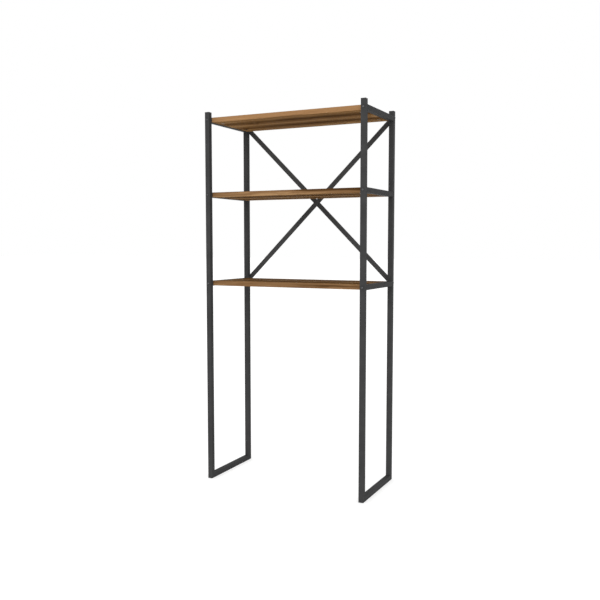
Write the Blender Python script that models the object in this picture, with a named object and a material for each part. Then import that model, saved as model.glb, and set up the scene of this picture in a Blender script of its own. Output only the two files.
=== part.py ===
"""An over-the-toilet storage rack, in metres, +Z up, its front towards -Y.

Two U-shaped side frames of square steel tube stand on the floor. Three board shelves lie between them,
on cross rails that are bolted to the uprights at both ends, and two flat bars brace the back.
The origin is on the floor, in the middle of the whole rack. Left and right are the viewer's.
"""

import math

import bmesh
import bpy
from mathutils import Matrix, Vector

# Driving dimensions
HEIGHT = 1.500  # floor to the top of the end caps
WIDTH = 0.692  # over the two side frames
DEPTH = 0.323  # front face of the front uprights to back face of the rear ones
TUBE = 0.020  # side of the square tube
WALL = 0.0015
BOARD = 0.019  # thickness of a shelf
SHELF_TOPS = {"lower": 0.8215, "middle": 1.1805, "top": 1.4795}
GAP = 0.0003  # between pieces that touch

# Tubes and the plastic caps in their tops
TUBE_CORNER = 0.0010
BORE_CORNER = 0.0005
CAP_HEAD = 0.004
CAP_SPIGOT = 0.014
CAP_EDGE = 0.0007

# Each rail end: a threaded block, and a button-head bolt through the upright into it
BLOCK_LENGTH = 0.012
BLOCK_RECESS = 0.0005
WELD_BITE = 0.0002  # how far welded pieces run into each other
BOLT_RADIUS = 0.003
BOLT_GRIP = 0.010  # length of bolt inside the rail
HEAD_RADIUS = 0.0048
HEAD_HEIGHT = 0.0030
HEAD_CROWN = ((0.52, 1.0), (0.80, 0.72), (0.96, 0.32))  # shares of the head's radius and height
SOCKET_RADIUS = 0.0021
SOCKET_DEPTH = 0.0018
SOCKET_SIDES = 6

# Each shelf end: two steel dowels screwed into the rail, and the cam locks that hold their heads
BAND = 0.001  # edging strip
DOWEL_SETBACK = 0.048  # front or back of the shelf to a dowel
DOWEL_TAIL = 0.005  # thread inside the rail
DOWEL_RADIUS = 0.0025
NECK_RADIUS = 0.0016
NECK_LENGTH = 0.004
DOWEL_HEAD = 0.0024
CAM_REACH = 0.024  # end of the shelf to the middle of a cam
CAM_RADIUS = 0.0072
CAM_HEIGHT = 0.0134
CAM_SLOT = (0.0085, 0.0016, 0.0020)  # length, width and depth of each slot of its cross

# Cross brace
BAR_WIDTH = 0.020
BAR = 0.003
BAR_RISE = {"lower": 0.0030, "top": 0.0060}  # the bars' centre lines pass this far above their bolts
BAR_STATIONS = 20

# Smoothness
CORNER_STEPS = 3
ROUND_STEPS = 14
DOWEL_STEPS = 10
SMOOTH_ANGLE = math.radians(35)
QUARTER_TURN = math.pi / 2
TINY = 1e-6

# Derived sizes and places
FRONT_BUILD = GAP + HEAD_HEIGHT
BACK_BUILD = GAP + BAR + GAP + HEAD_HEIGHT
FRONT_Y = FRONT_BUILD - (FRONT_BUILD + DEPTH + BACK_BUILD) / 2
BACK_Y = FRONT_Y + DEPTH
CENTRE_Y = (FRONT_Y + BACK_Y) / 2
UPRIGHT_X = (WIDTH - TUBE) / 2
UPRIGHT_Y = {"front": FRONT_Y + TUBE / 2, "rear": BACK_Y - TUBE / 2}
BORE = TUBE - 2 * WALL
SPIGOT = BORE - 2 * GAP
BOARD_WIDTH = WIDTH - 2 * TUBE - 2 * GAP
BOARD_DEPTH = DEPTH - 2 * TUBE
CAM_X = BOARD_WIDTH / 2 - CAM_REACH
DOWEL_Y = {
    "front": CENTRE_Y - BOARD_DEPTH / 2 + DOWEL_SETBACK,
    "rear": CENTRE_Y + BOARD_DEPTH / 2 - DOWEL_SETBACK,
}
BOLT_Z = {level: top - TUBE / 2 for level, top in SHELF_TOPS.items()}
SIDES = {"left": -1, "right": 1}


def clear_scene():
    for obj in list(bpy.data.objects):
        bpy.data.objects.remove(obj, do_unlink=True)


def new_collection(name):
    collection = bpy.data.collections.new(name)
    bpy.context.scene.collection.children.link(collection)
    return collection


def new_material(name, colour, roughness, metallic):
    material = bpy.data.materials.new(name)
    material.use_nodes = True
    shader = material.node_tree.nodes["Principled BSDF"]
    shader.inputs["Base Color"].default_value = (*colour, 1.0)
    shader.inputs["Roughness"].default_value = roughness
    shader.inputs["Metallic"].default_value = metallic
    return material


# Shapes: each function returns a bmesh


def box(size, centre=(0, 0, 0)):
    bm = bmesh.new()
    bmesh.ops.create_cube(bm, size=1.0)
    bmesh.ops.scale(bm, vec=Vector(size), verts=bm.verts)
    bmesh.ops.translate(bm, vec=Vector(centre), verts=bm.verts)
    return bm


def rod(radius, length, centre, axis="Y", sides=ROUND_STEPS):
    """A round or many-sided bar along Y, X or Z."""
    bm = bmesh.new()
    bmesh.ops.create_cone(
        bm, cap_ends=True, segments=sides, radius1=radius, radius2=radius, depth=length
    )
    if axis != "Z":
        turn = Matrix.Rotation(QUARTER_TURN, 3, "X" if axis == "Y" else "Y")
        bmesh.ops.rotate(bm, verts=bm.verts, matrix=turn)
    bmesh.ops.translate(bm, vec=Vector(centre), verts=bm.verts)
    return bm


def turned(outline, steps):
    """A solid turned round the Z axis from an outline of (radius, height) that ends on the axis."""
    bm = bmesh.new()
    verts = [bm.verts.new((radius, 0, height)) for radius, height in outline]
    edges = [bm.edges.new(pair) for pair in zip(verts, verts[1:])]
    bmesh.ops.spin(
        bm, geom=verts + edges, axis=(0, 0, 1), cent=(0, 0, 0), steps=steps, angle=2 * math.pi
    )
    bmesh.ops.remove_doubles(bm, verts=bm.verts, dist=TINY)
    bmesh.ops.recalc_face_normals(bm, faces=bm.faces)
    return bm


def merged(shapes):
    """All the given shapes in one bmesh, as separate bodies."""
    bm = bmesh.new()
    for shape in shapes:
        mesh = bpy.data.meshes.new("merging")
        shape.to_mesh(mesh)
        shape.free()
        bm.from_mesh(mesh)
        bpy.data.meshes.remove(mesh)
    return bm


def round_edges(bm, axis, radius, steps, keep=None):
    """Rounds the edges that run along an axis (0 for X, 1 for Y, 2 for Z), or those of them to keep."""
    chosen = []
    for edge in bm.edges:
        run = edge.verts[1].co - edge.verts[0].co
        along = abs(run[axis]) > (1 - TINY) * run.length
        if along and (keep is None or keep(edge)):
            chosen.append(edge)
    bmesh.ops.bevel(bm, geom=chosen, offset=radius, segments=steps, profile=0.5, affect="EDGES")


# Objects


def add_part(name, bm, material, location=(0, 0, 0), rotation=(0, 0, 0)):
    """Puts a finished bmesh in the scene as one named part."""
    mesh = bpy.data.meshes.new(name)
    bm.to_mesh(mesh)
    bm.free()
    mesh.materials.append(MATERIALS[material])
    mesh.shade_smooth()
    mesh.set_sharp_from_angle(angle=SMOOTH_ANGLE)
    part = bpy.data.objects.new(name, mesh)
    part.location = location
    part.rotation_euler = rotation
    part.parent = ROOT
    PARTS.objects.link(part)
    return part


def combine(part, name, bm, location=(0, 0, 0), rotation=(0, 0, 0), operation="DIFFERENCE"):
    """Cuts a bmesh, placed as a hidden helper, out of a part, or joins it to the part."""
    mesh = bpy.data.meshes.new(name)
    bm.to_mesh(mesh)
    bm.free()
    helper = bpy.data.objects.new(name, mesh)
    helper.location = location
    helper.rotation_euler = rotation
    helper.hide_render = True
    helper.display_type = "WIRE"
    CUTTERS.objects.link(helper)
    boolean = part.modifiers.new(name, "BOOLEAN")
    boolean.operation = operation
    boolean.solver = "EXACT"
    boolean.object = helper


# Side frames


def mitre(bm, length, low, high):
    """Slants the ends of a bar that stands on z = 0. 1 leaves it longest at -Y, -1 at +Y, 0 square."""
    setback = TUBE / 2 + GAP * math.sqrt(0.5)
    for vert in bm.verts:
        if vert.co.z < length / 2:
            vert.co.z += abs(low) * setback + low * vert.co.y
        else:
            vert.co.z -= abs(high) * setback + high * vert.co.y


def add_tube(name, length, location, rotation=(0, 0, 0), low=0, high=0):
    """A hollow square tube along its own +Z."""
    outside = box((TUBE, TUBE, length), (0, 0, length / 2))
    mitre(outside, length, low, high)
    round_edges(outside, 2, TUBE_CORNER, CORNER_STEPS)
    tube = add_part(name, outside, "powder_coat", location, rotation)
    bore = box((BORE, BORE, length + TUBE), (0, 0, length / 2))
    round_edges(bore, 2, BORE_CORNER, 1)
    combine(tube, name + "_bore", bore, location, rotation)
    return tube


def add_upright(side, place):
    x = SIDES[side] * UPRIGHT_X
    y = UPRIGHT_Y[place]
    name = f"{side}_{place}_upright"
    longest = 1 if place == "front" else -1
    tube = add_tube(name, HEIGHT - CAP_HEAD - GAP, (x, y, 0), low=longest)
    holes = [rod(BOLT_RADIUS + GAP, 2 * TUBE, (x, y, z)) for z in BOLT_Z.values()]
    combine(tube, name + "_bolt_holes", merged(holes))


def add_end_cap(side, place):
    """A plastic cap on the top of an upright, with a spigot inside the tube."""
    middle = HEIGHT - CAP_HEAD / 2
    head = box((TUBE, TUBE, CAP_HEAD), (0, 0, middle))
    round_edges(head, 2, TUBE_CORNER, CORNER_STEPS)
    rim = [edge for edge in head.edges if all(vert.co.z > middle for vert in edge.verts)]
    bmesh.ops.bevel(head, geom=rim, offset=CAP_EDGE, segments=2, profile=0.5, affect="EDGES")
    name = f"{side}_{place}_end_cap"
    seat = (SIDES[side] * UPRIGHT_X, UPRIGHT_Y[place], 0)
    cap = add_part(name, head, "black_plastic", seat)
    spigot = box((SPIGOT, SPIGOT, CAP_SPIGOT + CAP_HEAD / 2), (0, 0, middle - CAP_HEAD / 4 - CAP_SPIGOT / 2))
    round_edges(spigot, 2, BORE_CORNER, 1)
    combine(cap, name + "_spigot", spigot, seat, operation="UNION")


def add_floor_runner(side):
    """The tube along the floor, mitred into both uprights."""
    start = (SIDES[side] * UPRIGHT_X, FRONT_Y, TUBE / 2)
    add_tube(f"{side}_floor_runner", DEPTH, start, (-QUARTER_TURN, 0, 0), low=-1, high=-1)


def add_rail(side, level):
    """A cross rail between the uprights, its top flush with the shelf's, with a threaded block welded
    in each end and two tapped holes in its inner face."""
    name = f"{side}_{level}_rail"
    x = SIDES[side] * UPRIGHT_X
    z = BOLT_Z[level]
    start = (x, FRONT_Y + TUBE + GAP, z)
    rail = add_tube(name, DEPTH - 2 * TUBE - 2 * GAP, start, (-QUARTER_TURN, 0, 0))
    reach = BOARD_DEPTH / 2 - GAP - BLOCK_RECESS - BLOCK_LENGTH / 2
    block_side = BORE + 2 * WELD_BITE
    for end, y in (("front", CENTRE_Y - reach), ("rear", CENTRE_Y + reach)):
        block = box((block_side, BLOCK_LENGTH, block_side), (x, y, z))
        combine(rail, f"{name}_{end}_block", block, operation="UNION")
    holes = [rod(BOLT_RADIUS + GAP, DEPTH, (x, CENTRE_Y, z))]
    inner_wall = SIDES[side] * (WIDTH / 2 - TUBE)
    for y in DOWEL_Y.values():
        holes.append(rod(BOLT_RADIUS + GAP, TUBE, (inner_wall, y, SHELF_TOPS[level] - BOARD / 2), "X"))
    for index, hole in enumerate(holes):
        combine(rail, f"{name}_hole_{index}", hole)


def add_bolt(side, level, place):
    """A button-head bolt through an upright into the end of a rail. At the back, those of the top
    and lower rails also hold the end of a brace bar."""
    through_bar = BAR + GAP if place == "rear" and level != "middle" else 0
    length = TUBE + 2 * GAP + through_bar + BOLT_GRIP
    crown = [(HEAD_RADIUS * out, HEAD_HEIGHT * up) for out, up in HEAD_CROWN]
    shank = [(HEAD_RADIUS, 0), (BOLT_RADIUS, 0), (BOLT_RADIUS, -length), (0, -length)]
    outline = [(0, HEAD_HEIGHT), *crown, *shank]
    outward = -1 if place == "front" else 1
    face_y = FRONT_Y if place == "front" else BACK_Y
    seat = (SIDES[side] * UPRIGHT_X, face_y + outward * (GAP + through_bar), BOLT_Z[level])
    rotation = (-outward * QUARTER_TURN, 0, 0)
    name = f"{side}_{level}_{place}_bolt"
    bolt = add_part(name, turned(outline, ROUND_STEPS), "black_bolt", seat, rotation)
    socket = rod(SOCKET_RADIUS, 2 * SOCKET_DEPTH, (0, 0, HEAD_HEIGHT), "Z", SOCKET_SIDES)
    combine(bolt, name + "_socket", socket, seat, rotation)


# Shelves


def cam_places(level):
    """Where the cams of a shelf sit, in the middle of the board's thickness."""
    z = SHELF_TOPS[level] - BOARD / 2
    return [(sign * CAM_X, y, z) for sign in SIDES.values() for y in DOWEL_Y.values()]


def dowel_holes(level):
    """The holes that run in from the ends of a shelf to its cams."""
    holes = []
    for x, y, z in cam_places(level):
        outward = math.copysign(CAM_REACH, x)
        holes.append(rod(DOWEL_RADIUS + GAP, 2 * CAM_REACH, (x + outward, y, z), "X"))
    return merged(holes)


def add_shelf(level):
    """The bare board, with a pocket in its underside for each cam and a hole to it from the end."""
    edging = 2 * (BAND + GAP)
    top = SHELF_TOPS[level]
    board = box((BOARD_WIDTH - edging, BOARD_DEPTH - edging, BOARD), (0, CENTRE_Y, top - BOARD / 2))
    shelf = add_part(f"{level}_shelf", board, "wood_decor")
    pockets = []
    for x, y, _ in cam_places(level):
        pockets.append(rod(CAM_RADIUS + GAP, 2 * (CAM_HEIGHT + GAP), (x, y, top - BOARD), "Z"))
    combine(shelf, f"{level}_shelf_cam_pockets", merged(pockets))
    combine(shelf, f"{level}_shelf_dowel_holes", dowel_holes(level))


def add_edging(level):
    """The strip glued round the board, with holes for the dowels."""
    centre = (0, CENTRE_Y, SHELF_TOPS[level] - BOARD / 2)
    outside = box((BOARD_WIDTH, BOARD_DEPTH, BOARD), centre)
    inside = box((BOARD_WIDTH - 2 * BAND, BOARD_DEPTH - 2 * BAND, 2 * BOARD), centre)
    strip = add_part(f"{level}_shelf_edging", outside, "wood_edging")
    combine(strip, f"{level}_shelf_edging_inside", inside)
    combine(strip, f"{level}_shelf_edging_holes", dowel_holes(level))


def add_shelf_dowel(side, level, place):
    """A steel dowel screwed into a rail, its neck and head inside the cam."""
    head_top = GAP + CAM_REACH + DOWEL_HEAD / 2
    neck_top = head_top - DOWEL_HEAD
    outline = (
        (0, head_top),
        (DOWEL_RADIUS, head_top),
        (DOWEL_RADIUS, neck_top),
        (NECK_RADIUS, neck_top),
        (NECK_RADIUS, neck_top - NECK_LENGTH),
        (DOWEL_RADIUS, neck_top - NECK_LENGTH),
        (DOWEL_RADIUS, 0),
        (BOLT_RADIUS, 0),
        (BOLT_RADIUS, -DOWEL_TAIL),
        (0, -DOWEL_TAIL),
    )
    sign = SIDES[side]
    root = (sign * (WIDTH / 2 - TUBE), DOWEL_Y[place], SHELF_TOPS[level] - BOARD / 2)
    inward = (0, -sign * QUARTER_TURN, 0)
    add_part(f"{side}_{level}_{place}_dowel", turned(outline, DOWEL_STEPS), "zinc_steel", root, inward)


def add_cam(side, level, place):
    """The cam lock in the underside of a shelf that draws a dowel's head in."""
    sign = SIDES[side]
    x = sign * CAM_X
    y = DOWEL_Y[place]
    underside = SHELF_TOPS[level] - BOARD
    name = f"{side}_{level}_{place}_cam"
    body = rod(CAM_RADIUS, CAM_HEIGHT, (x, y, underside + CAM_HEIGHT / 2), "Z")
    cam = add_part(name, body, "zinc_steel")
    room = DOWEL_RADIUS + GAP
    mouth_start = x - sign * (DOWEL_HEAD / 2 + GAP)
    mouth = rod(room, 2 * CAM_RADIUS, (mouth_start + sign * CAM_RADIUS, y, underside + BOARD / 2), "X")
    combine(cam, name + "_mouth", mouth)
    across, width, depth = CAM_SLOT
    combine(cam, name + "_slot_x", box((across, width, 2 * depth), (x, y, underside)))
    combine(cam, name + "_slot_y", box((width, across, 2 * depth), (x, y, underside)))


# Cross brace


def add_brace_bar(name, rise, bow):
    """A flat bar from one lower bolt to the opposite top one, flexed by bow where the two bars cross.

    rise is 1 for the bar that climbs to the right and -1 for the other.
    """
    low = BOLT_Z["lower"] + BAR_RISE["lower"]
    high = BOLT_Z["top"] + BAR_RISE["top"]
    half_rise = rise * (high - low) / 2
    middle = Vector((0, BACK_Y + GAP + BAR / 2, (high + low) / 2))
    span = 2 * math.hypot(UPRIGHT_X, half_rise)
    bar = box((span + BAR_WIDTH, BAR, BAR_WIDTH))
    lengthwise = [edge for edge in bar.edges if abs(edge.verts[0].co.x - edge.verts[1].co.x) > span]
    bmesh.ops.subdivide_edges(bar, edges=lengthwise, cuts=BAR_STATIONS, use_grid_fill=True)
    round_edges(
        bar, 1, BAR_WIDTH / 2 - TINY, CORNER_STEPS, lambda edge: abs(edge.verts[0].co.x) > span / 2
    )
    for vert in bar.verts:
        share = min(abs(vert.co.x) / span, 0.5)
        vert.co.y += bow * math.cos(math.pi * share) ** 2
    tilt = -math.atan2(half_rise, UPRIGHT_X)
    part = add_part(name, bar, "powder_coat", middle, (0, tilt, 0))
    ends = [(-rise * UPRIGHT_X, BOLT_Z["lower"]), (rise * UPRIGHT_X, BOLT_Z["top"])]
    holes = [rod(BOLT_RADIUS + GAP, 4 * BAR, (x, middle.y, z)) for x, z in ends]
    combine(part, name + "_holes", merged(holes))


clear_scene()
PARTS = new_collection("over_toilet_storage_rack")
CUTTERS = new_collection("cutters")
ROOT = bpy.data.objects.new("rack_origin", None)
PARTS.objects.link(ROOT)
MATERIALS = {
    "powder_coat": new_material("powder_coat", (0.053, 0.053, 0.055), 0.55, 0.1),
    "black_plastic": new_material("black_plastic", (0.02, 0.02, 0.022), 0.45, 0.0),
    "wood_decor": new_material("wood_decor", (0.27, 0.15, 0.07), 0.5, 0.0),
    "wood_edging": new_material("wood_edging", (0.33, 0.19, 0.09), 0.5, 0.0),
    "black_bolt": new_material("black_bolt", (0.09, 0.09, 0.095), 0.35, 0.8),
    "zinc_steel": new_material("zinc_steel", (0.55, 0.55, 0.56), 0.3, 1.0),
}

for side_name in SIDES:
    add_floor_runner(side_name)
    for end in UPRIGHT_Y:
        add_upright(side_name, end)
        add_end_cap(side_name, end)
        for shelf_level in SHELF_TOPS:
            add_bolt(side_name, shelf_level, end)
            add_shelf_dowel(side_name, shelf_level, end)
            add_cam(side_name, shelf_level, end)
    for shelf_level in SHELF_TOPS:
        add_rail(side_name, shelf_level)

for shelf_level in SHELF_TOPS:
    add_shelf(shelf_level)
    add_edging(shelf_level)

add_brace_bar("rising_brace_bar", 1, -(BAR + GAP) / 2)
add_brace_bar("falling_brace_bar", -1, (BAR + GAP) / 2)
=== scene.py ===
"""The looks of an over-the-toilet storage rack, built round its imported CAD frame, in metres."""

import math

import bmesh
import bpy
from mathutils import Matrix, Vector


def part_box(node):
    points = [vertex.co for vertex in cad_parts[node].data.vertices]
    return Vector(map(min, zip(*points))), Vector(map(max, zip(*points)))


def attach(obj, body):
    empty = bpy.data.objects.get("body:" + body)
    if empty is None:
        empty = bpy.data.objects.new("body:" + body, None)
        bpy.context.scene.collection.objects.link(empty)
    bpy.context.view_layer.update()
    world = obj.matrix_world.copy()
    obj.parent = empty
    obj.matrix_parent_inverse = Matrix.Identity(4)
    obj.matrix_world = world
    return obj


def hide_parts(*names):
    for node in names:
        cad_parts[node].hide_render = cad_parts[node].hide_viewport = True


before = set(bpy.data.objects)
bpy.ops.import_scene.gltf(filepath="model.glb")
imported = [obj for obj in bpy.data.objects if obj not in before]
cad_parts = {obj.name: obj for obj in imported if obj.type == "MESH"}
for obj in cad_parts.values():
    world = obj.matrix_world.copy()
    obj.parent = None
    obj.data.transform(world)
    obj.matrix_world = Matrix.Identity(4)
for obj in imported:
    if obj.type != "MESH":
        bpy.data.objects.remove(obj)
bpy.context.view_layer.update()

BODY = "root"
SIDES = ("left", "right")
PLACES = ("front", "rear")
LEVELS = ("lower", "middle", "top")
MM = 0.001
QUARTER_TURN = math.pi / 2

# Camera; lengths in metres, lens and sensor in millimetres
CAMERA_PLACE = (1.3509, -2.7324, 0.9770)
CAMERA_TURN = (85.625, 0.0, 26.305)  # degrees
CAMERA_LENS = 44.914
CAMERA_SENSOR = 36.0
CAMERA_CLIP = 200.0

# Studio
WHITE = (1.0, 1.0, 1.0)
FLOOR_REACH = 40.0
FLOOR_DROP = 0.0006  # below the feet, so that the two don't share a plane
FLOOR_COLOUR = (0.58, 0.58, 0.58)
FLOOR_GLOW = 0.5  # keeps the shadow round the feet faint
KEY_AZIMUTH = 8.0  # degrees from the front towards the right
KEY_ELEVATION = 13.0
KEY_SPREAD = 50.0
KEY_STRENGTH = 1.55

# End caps, in millimetres
CORNER = 1.0  # of the tube's section too
CAP_RIM = 0.7
CAP_CROWN = 0.3
CROWN_SHARES = (0.75, 0.5, 0.25)  # of the half width, where the crown has its rings
CAP_GAP = 0.1
CAP_CHAMFER = 0.15
SPIGOT_INSET = 1.8
SPIGOT_TAPER = 0.6
SPIGOT_LEAD = 1.2

# Mitre welds, in millimetres
WELD_SECTION = ((-0.2, 0.07), (0.0, 0.05), (0.2, 0.07), (0.2, 1.0), (-0.2, 1.0))  # along, sunk
WELD_LIFT = 0.02

# Bolts, in millimetres
HEAD_HEIGHT = 3.0
HEAD_FLAT = 0.5  # share of the radius
HEAD_RIM = 0.25
HEAD_CHAMFER = 0.05
SHANK_RADIUS = 3.0
SHANK_CHAMFER = 0.5
SOCKET_ACROSS = 4.0
SOCKET_DEPTH = 1.8

# Shelves, dowels and cam locks, in millimetres
BAND = 1.0
BAND_CORNER = 0.9
BAND_ROUNDING = 0.45
GLUE_LINE = 0.06
BOARD_ROUNDING = 0.12
DOWEL_RADIUS = 2.5
DOWEL_PLAY = 0.3
POCKET_PLAY = 0.25
POCKET_SPACE = 0.3
CAM_ROUNDING = 0.35
CAM_MOUTH = 2.8
CAM_CROSS = (4.3, 0.8, 2.0)  # half length, half width, depth
CAM_CENTRE = (1.5, 2.4)  # radius, depth
CAM_ARROW = (5.4, 0.9, 0.35)  # distance from the centre, radius, depth

# Brace bars, in millimetres
BAR_THICKNESS = 3.0
BAR_ROUNDING = 0.35
BOLT_HOLE = 3.3

# How far cutters stick out, in millimetres
OVERCUT = 1.0
LONG_OVERCUT = 5.0

# How finely curves are divided
CORNER_STEPS = 5
RIM_STEPS = 5
HEAD_STEPS = 10
ROUND_STEPS = 36
DRILL_STEPS = 24
BAR_STATIONS = 24
BAR_END_STEPS = 24
ARRIS_STEPS = 3

# Powder coat; noise scales are cells in a metre
COAT_SPECULAR = 0.02
COAT_CLOUDS = 18.0
COAT_GRAIN = 2600.0
COAT_PEEL = 620.0
COAT_RUBBED = 1.6  # how much lighter the arrises are

# Wood; grain is (cells in a metre along X, Y and Z)
WOOD_SPECULAR = 0.003
KNOT_CELLS = (3.4, 9.0, 9.0)
SWAY_CELLS = (1.6, 7.0, 7.0)
BROAD_CELLS = 46.0  # across the grain; each board has its own number along it
LINE_CELLS = (4.0, 210.0, 210.0)
FINE_CELLS = (26.0, 900.0, 900.0)
PORE_CELLS = (70.0, 2600.0, 2600.0)
RING_CELLS = (0.55, 11.0, 11.0)
RINGS = 22
RING_DEPTH = 0.022
STRIPE_PERIOD = 0.120
STRIPE_PLACE = -0.003
FACE_STRIPE = 0.13
FACE_TONES = ((0.087, 0.038, 0.0085), (0.172, 0.087, 0.030), (0.290, 0.160, 0.062))
# painted light: the same decor on every board, made lighter or darker per level to stand in for how light
# falls on each
FACE_PAINTED_LIGHT_GAINS = {"lower": 0.73, "middle": 0.76, "top": 0.92}
EDGE_TONES = ((0.090, 0.043, 0.015), (0.200, 0.108, 0.048), (0.320, 0.190, 0.090))
# painted light: each level's edging is scaled lighter or darker, the top strip much lighter as if lit from
# above, and the middle strip gets a painted shade that slopes across it
EDGE_LOOKS = {
    "lower": {"seed": 168.2, "painted_light_gain": 0.88, "contrast": 1.1},
    "middle": {"seed": 57.3, "painted_light_gain": 0.92, "contrast": 1.2, "tilt": (-0.28, -19.0)},
    "top": {"seed": 16.6, "painted_light_gain": 1.36, "contrast": 0.7},
}


# Meshes


def new_piece(name, bm, material, smooth_degrees=35.0):
    """Puts a finished bmesh in the scene as a piece that rides on the rack."""
    mesh = bpy.data.meshes.new(name)
    bm.normal_update()
    bm.to_mesh(mesh)
    bm.free()
    mesh.materials.append(material)
    mesh.shade_smooth()
    mesh.set_sharp_from_angle(angle=math.radians(smooth_degrees))
    piece = bpy.data.objects.new(name, mesh)
    bpy.context.scene.collection.objects.link(piece)
    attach(piece, BODY)
    return piece


def block(low, high):
    """A box between two corners."""
    bm = bmesh.new()
    bmesh.ops.create_cube(bm, size=1.0)
    low, high = Vector(low), Vector(high)
    bmesh.ops.scale(bm, vec=high - low, verts=bm.verts)
    bmesh.ops.translate(bm, vec=(low + high) / 2, verts=bm.verts)
    return bm


def rod(radius, start, end, sides):
    """A round or many-sided bar between two points."""
    bm = bmesh.new()
    start, end = Vector(start), Vector(end)
    run = end - start
    bmesh.ops.create_cone(
        bm, cap_ends=True, segments=sides, radius1=radius, radius2=radius, depth=run.length
    )
    turn = run.to_track_quat("Z", "Y").to_matrix()
    bmesh.ops.rotate(bm, verts=bm.verts, matrix=turn)
    bmesh.ops.translate(bm, vec=(start + end) / 2, verts=bm.verts)
    return bm


def turned(outline, steps):
    """A solid turned round the Z axis from an outline of (radius, height) that ends on the axis."""
    bm = bmesh.new()
    verts = [bm.verts.new((radius, 0, height)) for radius, height in outline]
    edges = [bm.edges.new(pair) for pair in zip(verts, verts[1:])]
    bmesh.ops.spin(
        bm, geom=verts + edges, axis=(0, 0, 1), cent=(0, 0, 0), steps=steps, angle=2 * math.pi
    )
    bmesh.ops.remove_doubles(bm, verts=bm.verts, dist=1e-7)
    bmesh.ops.recalc_face_normals(bm, faces=bm.faces)
    return bm


def rounded_square(half, corner):
    """The outline of a square with rounded corners, as (x, y) points."""
    points = []
    for quarter in range(4):
        middle = math.pi / 4 + quarter * QUARTER_TURN
        reach = (half - corner) * math.sqrt(2)
        for step in range(CORNER_STEPS + 1):
            angle = quarter * QUARTER_TURN + step / CORNER_STEPS * QUARTER_TURN
            x = reach * math.cos(middle) + corner * math.cos(angle)
            y = reach * math.sin(middle) + corner * math.sin(angle)
            points.append((x, y))
    return points


def skin(bm, loops):
    """Faces between each loop of vertices and the next one."""
    for lower, upper in zip(loops, loops[1:]):
        for index in range(len(lower)):
            after = (index + 1) % len(lower)
            bm.faces.new((lower[index], lower[after], upper[after], upper[index]))


def lofted(rings, closed=False):
    """A skin over rings of points: a tube with flat ends, or a closed loop of rings."""
    bm = bmesh.new()
    loops = [[bm.verts.new(point) for point in ring] for ring in rings]
    if closed:
        skin(bm, loops + loops[:1])
    else:
        skin(bm, loops)
        bm.faces.new(reversed(loops[0]))
        bm.faces.new(loops[-1])
    bmesh.ops.recalc_face_normals(bm, faces=bm.faces)
    return bm


def round_arrises(bm, radius, steps, chosen=lambda edge: True):
    """Rounds the sharp edges that a test picks."""
    picked = []
    for edge in bm.edges:
        if len(edge.link_faces) == 2 and edge.calc_face_angle(0) > math.radians(30) and chosen(edge):
            picked.append(edge)
    bmesh.ops.bevel(
        bm, geom=picked, offset=radius, segments=steps, profile=0.5, affect="EDGES", clamp_overlap=True
    )


def cut(bm, tools):
    """The bmesh with every tool cut out of it."""
    scene = bpy.context.scene.collection
    mesh = bpy.data.meshes.new("cutting")
    bm.to_mesh(mesh)
    bm.free()
    target = bpy.data.objects.new("cutting", mesh)
    scene.objects.link(target)
    helpers = []
    for tool in tools:
        tool_mesh = bpy.data.meshes.new("cutter")
        tool.to_mesh(tool_mesh)
        tool.free()
        helper = bpy.data.objects.new("cutter", tool_mesh)
        scene.objects.link(helper)
        helpers.append(helper)
        boolean = target.modifiers.new("cut", "BOOLEAN")
        boolean.operation = "DIFFERENCE"
        boolean.solver = "EXACT"
        boolean.object = helper
    depsgraph = bpy.context.evaluated_depsgraph_get()
    result = bmesh.new()
    result.from_mesh(target.evaluated_get(depsgraph).to_mesh())
    for unwanted in (target, *helpers):
        data = unwanted.data
        bpy.data.objects.remove(unwanted)
        bpy.data.meshes.remove(data)
    return result


# Materials


def scaled(colour, factor):
    return tuple(value * factor for value in colour)


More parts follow.
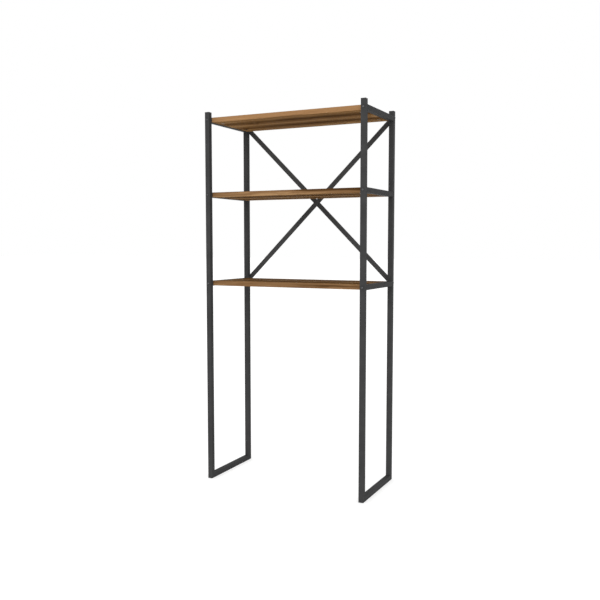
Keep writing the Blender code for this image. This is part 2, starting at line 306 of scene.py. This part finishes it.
class Shader:
    """A material's node tree, with a short way to add each node.

    Every method that adds a node takes a number, a colour or another node's output for each input.
    """

    def __init__(self, name, **values):
        self.material = bpy.data.materials.new(name)
        self.material.use_nodes = True
        self.tree = self.material.node_tree
        self.principled = self.tree.nodes["Principled BSDF"]
        for socket, value in values.items():
            self.set(socket.replace("_", " "), value)

    def put(self, socket, value):
        if isinstance(value, bpy.types.NodeSocket):
            self.tree.links.new(value, socket)
        elif socket.type == "RGBA" and value is not None:
            socket.default_value = (*value, 1.0)
        elif value is not None:
            socket.default_value = value

    def set(self, socket, value):
        """Gives one of the material's own inputs its value."""
        self.put(self.principled.inputs[socket], value)

    def add(self, kind, *inputs, output=0, **settings):
        node = self.tree.nodes.new("ShaderNode" + kind)
        for name, value in settings.items():
            setattr(node, name, value)
        for index, value in enumerate(inputs):
            self.put(node.inputs[index], value)
        return node.outputs[output]

    def place(self):
        """The point on the rack, in metres."""
        return self.add("TexCoord", output=3)

    def math(self, operation, *inputs):
        return self.add("Math", *inputs, operation=operation)

    def vector(self, operation, *inputs):
        output = 1 if operation in ("LENGTH", "DOT_PRODUCT") else 0
        return self.add("VectorMath", *inputs, operation=operation, output=output)

    def noise(self, vector, scale, detail, roughness):
        node = self.tree.nodes.new("ShaderNodeTexNoise")
        self.put(node.inputs["Vector"], vector)
        self.put(node.inputs["Scale"], scale)
        self.put(node.inputs["Detail"], detail)
        self.put(node.inputs["Roughness"], roughness)
        return node.outputs["Fac"]

    def grain(self, vector, cells, detail, roughness):
        """Noise with its own number of cells in a metre along each axis."""
        return self.noise(self.vector("MULTIPLY", vector, cells), 1.0, detail, roughness)

    def ramp(self, value, stops):
        node = self.tree.nodes.new("ShaderNodeValToRGB")
        elements = node.color_ramp.elements
        while len(elements) < len(stops):
            elements.new(0.5)
        for element, (place, colour) in zip(elements, stops):
            element.position = place
            element.color = (*colour, 1.0)
        self.put(node.inputs["Fac"], value)
        return node.outputs["Color"]

    def spread(self, value, low, high, to_low=0.0, to_high=1.0):
        """Takes low to to_low and high to to_high, with a smooth step between."""
        inputs = (value, low, high, to_low, to_high)
        return self.add("MapRange", *inputs, interpolation_type="SMOOTHSTEP")

    def mix(self, share, first, second, blend="MIX"):
        node = self.tree.nodes.new("ShaderNodeMix")
        node.data_type = "RGBA"
        node.blend_type = blend
        # the node has an A and a B for each type of data: these are the colour ones
        first_colour, second_colour = node.inputs[6], node.inputs[7]
        self.put(node.inputs["Factor"], share)
        self.put(first_colour, first)
        self.put(second_colour, second)
        return node.outputs[2]

    def shaded(self, colour, shade):
        """The colour multiplied by a shade that varies from place to place."""
        return self.mix(1.0, colour, self.add("CombineColor", shade, shade, shade), "MULTIPLY")

    def bump(self, height, strength, distance, normal=None):
        node = self.tree.nodes.new("ShaderNodeBump")
        self.put(node.inputs["Height"], height)
        self.put(node.inputs["Strength"], strength)
        self.put(node.inputs["Distance"], distance)
        self.put(node.inputs["Normal"], normal)
        return node.outputs["Normal"]


def rub(s, radius):
    """1 on the arrises of a piece and 0 elsewhere, uneven along them."""
    rounded = s.add("Bevel", radius, samples=4)
    surface = s.add("NewGeometry", output=1)
    edge = s.spread(s.vector("DOT_PRODUCT", rounded, surface), 0.99, 0.86)
    wear = s.spread(s.noise(s.place(), 90.0, 3.0, 0.7), 0.42, 0.62)
    return s.math("MULTIPLY", edge, wear)


def powder_coat(name, colour, seed):
    """Matt powder coat: a fine grainy skin, faint unevenness, and slightly polished arrises."""
    s = Shader(name, Metallic=0.0, Specular_IOR_Level=COAT_SPECULAR)
    place = s.vector("ADD", s.place(), (seed, seed * 0.7, -seed))
    cloud = s.noise(place, COAT_CLOUDS, 3.0, 0.6)
    grain = s.noise(place, COAT_GRAIN, 2.0, 0.6)
    peel = s.noise(place, COAT_PEEL, 1.0, 0.5)
    uneven = s.math("ADD", cloud, s.math("MULTIPLY", grain, 0.35))
    tone = s.shaded(colour, s.spread(uneven, 0.45, 0.95, 0.88, 1.12))
    edges = rub(s, 1.1 * MM)
    s.set("Base Color", s.mix(s.math("MULTIPLY", edges, 0.6), tone, scaled(colour, COAT_RUBBED)))
    rough = s.math("ADD", 0.44, s.math("MULTIPLY", cloud, 0.16))
    s.set("Roughness", s.math("SUBTRACT", rough, s.math("MULTIPLY", edges, 0.12)))
    s.set("Normal", s.bump(grain, 0.6, 0.09 * MM, s.bump(peel, 0.35, 0.2 * MM)))
    return s.material


def knot_pull(s, spot, strength):
    """How far the grain is drawn in round scattered knots, and the distance from the nearest one."""
    celled = s.vector("MULTIPLY", spot, KNOT_CELLS)
    cell = s.tree.nodes.new("ShaderNodeTexVoronoi")
    cell.inputs["Scale"].default_value = 1.0
    s.put(cell.inputs["Vector"], celled)
    away = s.vector("SUBTRACT", celled, cell.outputs["Position"])
    distance = s.vector("LENGTH", s.vector("MULTIPLY", away, (3.0, 1.0, 1.0)))
    pull = s.spread(distance, 0.0, 0.55, strength, 0.0)
    squeeze = s.vector("MULTIPLY", away, (0.0, -1 / KNOT_CELLS[1], -1 / KNOT_CELLS[2]))
    return s.add("VectorMath", squeeze, None, None, pull, operation="SCALE"), distance


def wood(name, seed, tones, painted_light_gain=1.0, knots=1.0, stripe=0.0, run=0.9, contrast=1.0, tilt=None):
    """Wood decor whose grain runs along X: broad stripes and bands, fine lines, pores and a few knots.

    run is the number of broad bands in a metre; gain scales every tone as painted light, set per level; and
    tilt is a point and the slope of the tone there, a painted shade across the piece.
    """
    s = Shader(name, Metallic=0.0, Specular_IOR_Level=WOOD_SPECULAR)
    place = s.place()
    spot = s.vector("ADD", place, (seed * 1.37, seed * 0.71, seed * 0.53))
    squeeze, distance = knot_pull(s, spot, knots)
    sway = s.math("SUBTRACT", s.grain(spot, SWAY_CELLS, 2.0, 0.5), 0.5)
    sideways = s.add("CombineXYZ", 0.0, s.math("MULTIPLY", sway, 0.05), s.math("MULTIPLY", sway, 0.02))
    bent = s.vector("ADD", s.vector("ADD", spot, squeeze), sideways)

    broad = s.grain(bent, (run, BROAD_CELLS, BROAD_CELLS), 2.0, 0.55)
    lines = s.grain(bent, LINE_CELLS, 3.0, 0.6)
    fine = s.grain(bent, FINE_CELLS, 2.0, 0.6)
    pores = s.grain(spot, PORE_CELLS, 1.0, 0.5)
    hills = s.grain(bent, RING_CELLS, 1.0, 0.4)
    rings = s.math("SINE", s.math("MULTIPLY", hills, 2 * math.pi * RINGS))

    # the tone's place between the darkest stop and the lightest
    field = s.math("ADD", s.math("MULTIPLY", broad, 0.52), s.math("MULTIPLY", lines, 0.34))
    field = s.math("ADD", field, s.math("MULTIPLY", fine, 0.14))
    field = s.math("ADD", field, s.math("MULTIPLY", rings, RING_DEPTH))
    field = s.math("ADD", s.math("MULTIPLY", s.math("SUBTRACT", field, 0.5), contrast), 0.5)
    if stripe:
        depth = s.add("SeparateXYZ", s.vector("ADD", place, sideways), output=1)
        turn = s.math("MULTIPLY", s.math("SUBTRACT", depth, STRIPE_PLACE), 2 * math.pi / STRIPE_PERIOD)
        field = s.math("ADD", field, s.math("MULTIPLY", s.math("COSINE", turn), stripe))
    # painted shade: a slope of tone across the piece
    if tilt:
        middle, slope = tilt
        painted_slope_shade = s.vector("DOT_PRODUCT", s.vector("SUBTRACT", place, middle), slope)
        field = s.math("ADD", field, painted_slope_shade)

    # painted light: the tones scaled per level
    dark, mid, light = [scaled(tone, painted_light_gain) for tone in tones]
    stops = [
        (0.25, scaled(dark, 0.72)), (0.37, dark), (0.47, mid),
        (0.54, mid), (0.64, light), (0.76, scaled(light, 1.15)),
    ]
    colour = s.ramp(field, stops)
    pit = s.spread(pores, 0.30, 0.42, 1.0, 0.0)
    heart = s.spread(distance, 0.05, 0.16, knots, 0.0)
    colour = s.mix(s.math("MULTIPLY", pit, 0.35), colour, dark)
    colour = s.mix(s.math("MULTIPLY", heart, 0.8), colour, scaled(dark, 0.5))
    s.set("Base Color", colour)
    s.set("Roughness", s.spread(field, 0.3, 0.7, 0.70, 0.58))
    s.set("Normal", s.bump(s.math("SUBTRACT", s.math("MULTIPLY", fine, 0.4), pit), 0.3, 0.06 * MM))
    return s.material


def moulded_plastic(name, colour):
    """Matt moulded plastic with a fine spark-eroded texture."""
    s = Shader(name, Metallic=0.0, Specular_IOR_Level=0.25)
    texture = s.noise(s.place(), 3200.0, 2.0, 0.7)
    cloud = s.noise(s.place(), 60.0, 2.0, 0.5)
    s.set("Base Color", s.mix(s.spread(cloud, 0.4, 0.7), colour, scaled(colour, 1.5)))
    s.set("Roughness", s.spread(texture, 0.3, 0.7, 0.38, 0.55))
    s.set("Normal", s.bump(texture, 0.3, 0.04 * MM))
    return s.material


def plated_metal(name, colour, roughness, metallic, wear):
    """Plated or blackened steel with faint blotches and rubbed edges."""
    s = Shader(name, Metallic=metallic)
    blotch = s.noise(s.place(), 420.0, 3.0, 0.6)
    scratch = s.grain(s.place(), (900.0, 900.0, 5200.0), 2.0, 0.6)
    tone = s.shaded(colour, s.spread(blotch, 0.35, 0.65, 0.82, 1.15))
    s.set("Base Color", s.mix(s.math("MULTIPLY", rub(s, 0.5 * MM), wear), tone, (0.62, 0.62, 0.63)))
    s.set("Roughness", s.spread(blotch, 0.3, 0.7, roughness - 0.06, roughness + 0.1))
    s.set("Normal", s.bump(scratch, 0.15, 0.02 * MM))
    return s.material


def decor(level, index):
    """A board's wood, with dark stripes along it, and its tone scaled per level as painted light."""
    return wood(f"wood_decor_{level}", 2.0 + 3.1 * index, FACE_TONES, FACE_PAINTED_LIGHT_GAINS[level], stripe=FACE_STRIPE)


def edging(level):
    """The front strip's wood, its tone scaled per level as painted light; on the middle board a painted
    shade makes it paler downwards and darker to the right.
    """
    look = dict(EDGE_LOOKS[level])
    low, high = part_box(f"{level}_shelf_edging")
    along, up = look.pop("tilt", (0.0, 0.0))
    tilt = (tuple((low + high) / 2), (along, 0.0, up))
    return wood(f"wood_edging_{level}", tones=EDGE_TONES, knots=0.3, run=3.0, tilt=tilt, **look)


# painted light: one powder coat on every part, its tone set a little apart for each frame and the rails to
# match how each is lit, and much lighter on the bars where the shelves shade them
COAT = {
    "left": powder_coat("powder_coat_left", (0.039, 0.039, 0.0395), 1.3),
    "right": powder_coat("powder_coat_right", (0.040, 0.040, 0.0405), 4.1),
    "rails": powder_coat("powder_coat_rails", (0.037, 0.037, 0.0375), 7.7),
    "bars": powder_coat("powder_coat_bars_painted_lighter", (0.054, 0.054, 0.0545), 9.2),
}
DECOR = {level: decor(level, index) for index, level in enumerate(LEVELS)}
EDGING = {level: edging(level) for level in LEVELS}
PLASTIC = moulded_plastic("black_plastic_grained", (0.018, 0.018, 0.019))
BLACK_BOLT = plated_metal("black_oxide_steel", (0.085, 0.085, 0.088), 0.36, 0.9, 0.5)
ZINC = plated_metal("zinc_plated_steel", (0.56, 0.56, 0.57), 0.28, 1.0, 0.3)
BRONZED = plated_metal("bronzed_zinc", (0.095, 0.062, 0.034), 0.46, 0.8, 0.1)


# Pieces


def carry_over(node, material):
    """Gives a CAD node its finish."""
    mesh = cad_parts[node].data
    mesh.materials.clear()
    mesh.materials.append(material)


def add_end_cap(side, place):
    """The cap on a tube's top: rounded over at its rim, slightly crowned, with a spigot in the tube."""
    node = f"{side}_{place}_end_cap"
    low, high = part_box(node)
    centre = (low + high) / 2
    half = (high.x - low.x) / 2
    bore = half - SPIGOT_INSET * MM
    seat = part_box(f"{side}_{place}_upright")[1].z + CAP_GAP * MM
    chamfer = CAP_CHAMFER * MM
    rim = CAP_RIM * MM
    profile = [(bore - SPIGOT_TAPER * MM, low.z), (bore, low.z + SPIGOT_LEAD * MM), (bore, seat)]
    profile += [(half - chamfer, seat), (half, seat + chamfer)]
    for step in range(RIM_STEPS + 1):
        angle = step / RIM_STEPS * QUARTER_TURN
        rise = high.z - CAP_CROWN * MM - rim + rim * math.sin(angle)
        profile.append((half - rim + rim * math.cos(angle), rise))
    for share in CROWN_SHARES:
        profile.append((half * share, high.z - CAP_CROWN * MM * share ** 2))
    rings = []
    for reach, height in profile:
        corner = min(CORNER * MM, reach * 0.4)
        rings.append([(centre.x + x, centre.y + y, height) for x, y in rounded_square(reach, corner)])
    piece = new_piece(f"{node}_moulding", lofted(rings), PLASTIC)
    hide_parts(node)


def add_mitre_weld(side, place):
    """The weld that joins an upright to the floor runner, ground back level all round the mitre."""
    low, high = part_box(f"{side}_{place}_upright")
    centre = (low + high) / 2
    half = (high.x - low.x) / 2
    lean = 1 if place == "front" else -1
    rings = []
    for along, sunk in WELD_SECTION:
        ring = []
        for x, y in rounded_square(half - sunk * MM, CORNER * MM):
            ring.append((centre.x + x, centre.y + y, half + lean * y + along * MM))
        rings.append(ring)
    weld = lofted(rings, closed=True)
    for vert in weld.verts:
        vert.co.z = max(vert.co.z, low.z + WELD_LIFT * MM)
    new_piece(f"{side}_{place}_mitre_weld", weld, COAT[side], 60.0)


def add_bolt(side, level, place):
    """A button-head bolt with a hexagon socket."""
    node = f"{side}_{level}_{place}_bolt"
    low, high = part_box(node)
    centre = (low + high) / 2
    outward, tip_y = (-1, low.y) if place == "front" else (1, high.y)
    radius = (high.x - low.x) / 2
    head, rim, edge = HEAD_HEIGHT * MM, HEAD_RIM * MM, HEAD_CHAMFER * MM
    shank, taper = SHANK_RADIUS * MM, SHANK_CHAMFER * MM
    length = high.y - low.y - head
    outline = [(0, head)]
    for step in range(HEAD_STEPS + 1):
        angle = step / HEAD_STEPS * QUARTER_TURN
        share = HEAD_FLAT + (1 - HEAD_FLAT) * math.sin(angle)
        outline.append((radius * share, rim + (head - rim) * math.cos(angle)))
    outline += [(radius, edge), (radius - edge, 0), (shank, 0)]
    outline += [(shank, taper - length), (shank - taper, -length), (0, -length)]
    hexagon = SOCKET_ACROSS / math.sqrt(3) * MM
    socket = rod(hexagon, (0, 0, head - SOCKET_DEPTH * MM), (0, 0, head + OVERCUT * MM), 6)
    bolt = cut(turned(outline, ROUND_STEPS), [socket])
    bmesh.ops.rotate(bolt, verts=bolt.verts, matrix=Matrix.Rotation(-outward * QUARTER_TURN, 3, "X"))
    bmesh.ops.translate(bolt, vec=(centre.x, tip_y - outward * head, centre.z), verts=bolt.verts)
    piece = new_piece(f"{node}_turned", bolt, BLACK_BOLT, 28.0)
    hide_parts(node)


def dowel_holes(level):
    """Rods a little thicker than a shelf's dowels, where they run."""
    rods = []
    for side in SIDES:
        for place in PLACES:
            low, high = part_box(f"{side}_{level}_{place}_dowel")
            y, z = (low.y + high.y) / 2, (low.z + high.z) / 2
            radius = (DOWEL_RADIUS + DOWEL_PLAY) * MM
            rods.append(rod(radius, (low.x, y, z), (high.x, y, z), DRILL_STEPS))
    return rods


def cam_pockets(level):
    """Rods a little bigger than a shelf's cam locks, from below its underside."""
    rods = []
    for side in SIDES:
        for place in PLACES:
            low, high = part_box(f"{side}_{level}_{place}_cam")
            x, y = (low.x + high.x) / 2, (low.y + high.y) / 2
            radius = (high.y - low.y) / 2 + POCKET_PLAY * MM
            start, end = (x, y, low.z - LONG_OVERCUT * MM), (x, y, high.z + POCKET_SPACE * MM)
            rods.append(rod(radius, start, end, ROUND_STEPS))
    return rods


def add_board(level):
    """A shelf's board, with its cam pockets and dowel holes."""
    low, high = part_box(f"{level}_shelf_edging")
    inner_low, inner_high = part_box(f"{level}_shelf")
    inset = BAND * MM + GLUE_LINE * MM
    board = block(
        (low.x + inset, low.y + inset, inner_low.z), (high.x - inset, high.y - inset, inner_high.z)
    )
    round_arrises(board, BOARD_ROUNDING * MM, 2)
    board = cut(board, cam_pockets(level) + dowel_holes(level))
    piece = new_piece(f"{level}_shelf_board", board, DECOR[level])
    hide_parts(f"{level}_shelf")


def add_edge_strip(level):
    """The edging strip round a shelf."""
    def at_corner(edge):
        return abs(edge.verts[0].co.z - edge.verts[1].co.z) > 1 * MM

    low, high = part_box(f"{level}_shelf_edging")
    band, beyond = BAND * MM, LONG_OVERCUT * MM
    strip = block(low, high)
    round_arrises(strip, BAND_CORNER * MM, 4, at_corner)
    round_arrises(strip, BAND_ROUNDING * MM, 3, lambda edge: not at_corner(edge))
    inside = block(
        (low.x + band, low.y + band, low.z - beyond), (high.x - band, high.y - band, high.z + beyond)
    )
    strip = cut(strip, [inside] + dowel_holes(level))
    piece = new_piece(f"{level}_shelf_edge_strip", strip, EDGING[level])
    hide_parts(f"{level}_shelf_edging")


def add_cam(side, level, place):
    """A cam lock: a round body with a cross slot in its face and an open mouth for the dowel."""
    node = f"{side}_{level}_{place}_cam"
    low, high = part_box(node)
    x, y = (low.x + high.x) / 2, (low.y + high.y) / 2
    radius = (high.y - low.y) / 2
    outward = -1 if side == "left" else 1
    cam = rod(radius, (x, y, low.z), (x, y, high.z), ROUND_STEPS)
    round_arrises(cam, CAM_ROUNDING * MM, 2)

    dowel_low, dowel_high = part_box(f"{side}_{level}_{place}_dowel")
    dowel_z = (dowel_low.z + dowel_high.z) / 2
    dowel_end = dowel_high.x if side == "left" else dowel_low.x
    start = (dowel_end - outward * DOWEL_PLAY * MM, y, dowel_z)
    end = (x + outward * 2 * radius, y, dowel_z)
    tools = [rod(CAM_MOUTH * MM, start, end, DRILL_STEPS)]

    below = low.z - OVERCUT * MM
    arm, slot, cross_depth = (size * MM for size in CAM_CROSS)
    for along, wide in ((arm, slot), (slot, arm)):
        tools.append(block((x - along, y - wide, below), (x + along, y + wide, low.z + cross_depth)))
    hole, hole_depth = (size * MM for size in CAM_CENTRE)
    tools.append(rod(hole, (x, y, below), (x, y, low.z + hole_depth), DRILL_STEPS))
    away, arrow, arrow_depth = (size * MM for size in CAM_ARROW)
    arrow_x = x + outward * away
    tools.append(rod(arrow, (arrow_x, y, below), (arrow_x, y, low.z + arrow_depth), 3))
    piece = new_piece(f"{node}_cast", cut(cam, tools), BRONZED)
    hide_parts(node)


def bar_section():
    """A bar's side with rounded arrises, as (inset from the bar's outline, height through it) points."""
    arris = BAR_ROUNDING * MM
    flat = BAR_THICKNESS * MM / 2 - arris
    turns = [step / ARRIS_STEPS * QUARTER_TURN for step in range(ARRIS_STEPS + 1)]
    section = []
    for face, angles in ((-1, turns), (1, reversed(turns))):
        for angle in angles:
            section.append((arris * (1 - math.sin(angle)), face * (flat + arris * math.cos(angle))))
    return section


def bar_outline(length, half):
    """A flat bar's outline with round ends, as (along, across) points, and its side points in pairs."""
    points = []
    for end in (1, -1):
        for step in range(BAR_END_STEPS + 1):
            angle = (step / BAR_END_STEPS - 0.5) * math.pi
            points.append((end * (length / 2 + half * math.cos(angle)), end * half * math.sin(angle)))
        for station in range(1, BAR_STATIONS):
            points.append((end * (0.5 - station / BAR_STATIONS) * length, end * half))
    pairs = []
    for station in range(BAR_STATIONS + 1):
        pairs.append((BAR_END_STEPS + station, (len(points) - station) % len(points)))
    return points, pairs


def add_brace_bar(node, climb):
    """A flat bar with round ends and softened arrises, flexed a little where it passes the other one.

    climb is 1 for the bar that rises to the right and -1 for the other.
    """
    low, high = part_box(node)
    tube_low, tube_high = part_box("left_front_upright")
    half = (tube_high.x - tube_low.x) / 2
    thick = BAR_THICKNESS * MM
    bow = -climb * (high.y - low.y - thick)
    middle = (low + high) / 2
    middle.y -= bow / 2
    run = high.x - low.x - 2 * half
    rise = climb * (high.z - low.z - 2 * half)
    length = math.hypot(run, rise)
    along = Vector((run, 0, rise)) / length
    across = Vector((-rise, 0, run)) / length

    bm = bmesh.new()
    loops = []
    for inset, out in bar_section():
        outline, pairs = bar_outline(length, half - inset)
        loop = []
        for u, v in outline:
            share = min(abs(u) / length, 0.5)
            place = middle + along * u + across * v
            place.y += out + bow * math.cos(math.pi * share) ** 2
            loop.append(bm.verts.new(place))
        loops.append(loop)
    skin(bm, loops)
    for loop in (loops[0], loops[-1]):
        for (first, second), (third, fourth) in zip(pairs, pairs[1:]):
            bm.faces.new((loop[first], loop[third], loop[fourth], loop[second]))
        bm.faces.new(loop[: BAR_END_STEPS + 1])
        bm.faces.new(loop[pairs[-1][0] : pairs[-1][1] + 1])
    bmesh.ops.recalc_face_normals(bm, faces=bm.faces)

    holes = []
    for side, level in zip(SIDES[::climb], ("lower", "top")):
        bolt_low, bolt_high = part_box(f"{side}_{level}_rear_bolt")
        x, z = (bolt_low.x + bolt_high.x) / 2, (bolt_low.z + bolt_high.z) / 2
        start, end = (x, middle.y - 3 * thick, z), (x, middle.y + 3 * thick, z)
        holes.append(rod(BOLT_HOLE * MM, start, end, ROUND_STEPS))
    piece = new_piece(f"{node}_rolled", cut(bm, holes), COAT["bars"])
    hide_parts(node)


for side in SIDES:
    for place in PLACES:
        carry_over(f"{side}_{place}_upright", COAT[side])
        add_end_cap(side, place)
        add_mitre_weld(side, place)
        for level in LEVELS:
            add_bolt(side, level, place)
            add_cam(side, level, place)
            carry_over(f"{side}_{level}_{place}_dowel", ZINC)
    carry_over(f"{side}_floor_runner", COAT[side])
    for level in LEVELS:
        carry_over(f"{side}_{level}_rail", COAT["rails"])
for level in LEVELS:
    add_board(level)
    add_edge_strip(level)
add_brace_bar("rising_brace_bar", 1)
add_brace_bar("falling_brace_bar", -1)


# Studio


def add_studio():
    """A white world, a pale floor and one broad, soft key light."""
    scene = bpy.context.scene
    scene.view_settings.view_transform = "Standard"
    world = bpy.data.worlds.new("studio")
    scene.world = world
    world.use_nodes = True
    background = world.node_tree.nodes["Background"]
    background.inputs["Color"].default_value = (*WHITE, 1.0)
    background.inputs["Strength"].default_value = 1.0

    floor_mesh = bpy.data.meshes.new("studio_floor")
    corners = [
        (x * FLOOR_REACH, y * FLOOR_REACH, -FLOOR_DROP) for x, y in ((-1, -1), (1, -1), (1, 1), (-1, 1))
    ]
    floor_mesh.from_pydata(corners, [], [(0, 1, 2, 3)])
    floor = bpy.data.objects.new("studio_floor", floor_mesh)
    scene.collection.objects.link(floor)
    shader = Shader("pale_floor", Roughness=0.9, Specular_IOR_Level=0.1)
    shader.set("Base Color", FLOOR_COLOUR)
    shader.set("Emission Color", WHITE)
    shader.set("Emission Strength", FLOOR_GLOW)
    floor_mesh.materials.append(shader.material)

    key = bpy.data.lights.new("key_light", "SUN")
    key.angle = math.radians(KEY_SPREAD)
    key.energy = KEY_STRENGTH
    lamp = bpy.data.objects.new("key_light", key)
    turn, rise = math.radians(KEY_AZIMUTH), math.radians(KEY_ELEVATION)
    towards = Vector((math.sin(turn) * math.cos(rise), -math.cos(turn) * math.cos(rise), math.sin(rise)))
    lamp.rotation_euler = towards.to_track_quat("Z", "Y").to_euler()
    scene.collection.objects.link(lamp)


def add_camera():
    data = bpy.data.cameras.new("camera")
    data.lens = CAMERA_LENS
    data.sensor_width = CAMERA_SENSOR
    data.clip_end = CAMERA_CLIP
    camera = bpy.data.objects.new("camera", data)
    camera.location = CAMERA_PLACE
    camera.rotation_euler = [math.radians(angle) for angle in CAMERA_TURN]
    bpy.context.scene.collection.objects.link(camera)
    bpy.context.scene.camera = camera


add_studio()
add_camera()
